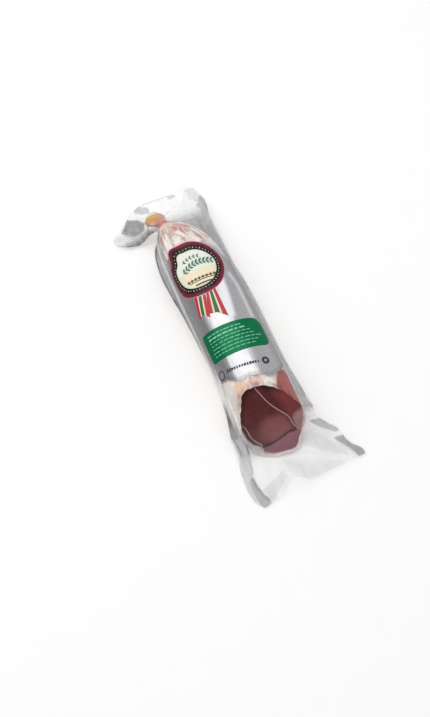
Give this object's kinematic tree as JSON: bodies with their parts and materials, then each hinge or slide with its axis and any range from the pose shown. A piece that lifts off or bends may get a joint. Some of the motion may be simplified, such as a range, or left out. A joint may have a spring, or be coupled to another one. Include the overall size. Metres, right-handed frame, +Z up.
{
  "type": "cured pork loin",
  "caption": "Half cured pork loin with a slanting cut end and a tied end, sealed in a clear vacuum bag with flat skirts, printed with a round rosette badge and a green panel.",
  "frame": {"origin": "on the surface that the pack rests on, under the middle of the pack", "axes": "+Y along the pack from the cut end towards the tied end, +X to the right seen from the cut end, +Z up through the printed side"},
  "size_m": [0.137, 0.347, 0.0501],
  "materials": {
    "clear_film": "clear glossy film",
    "silver_ink": "satin silver print under gloss film",
    "maroon_ink": "gloss print",
    "dark_ink": "gloss print",
    "cream_ink": "gloss print",
    "red_ink": "gloss print",
    "green_ink": "gloss print",
    "cut_meat": "smooth moist cut face",
    "casing": "dry wrinkled skin",
    "tie_string": "twisted thread"
  },
  "bodies": {
    "root": {"sealed_bag": "clear_film", "silver_field": "silver_ink", "badge_rim": "maroon_ink", "badge_ring": "dark_ink", "badge_face": "cream_ink", "ribbon_tail_left": "red_ink", "ribbon_tail_right": "red_ink", "green_panel": "green_ink"}
  },
  "joints": []
}
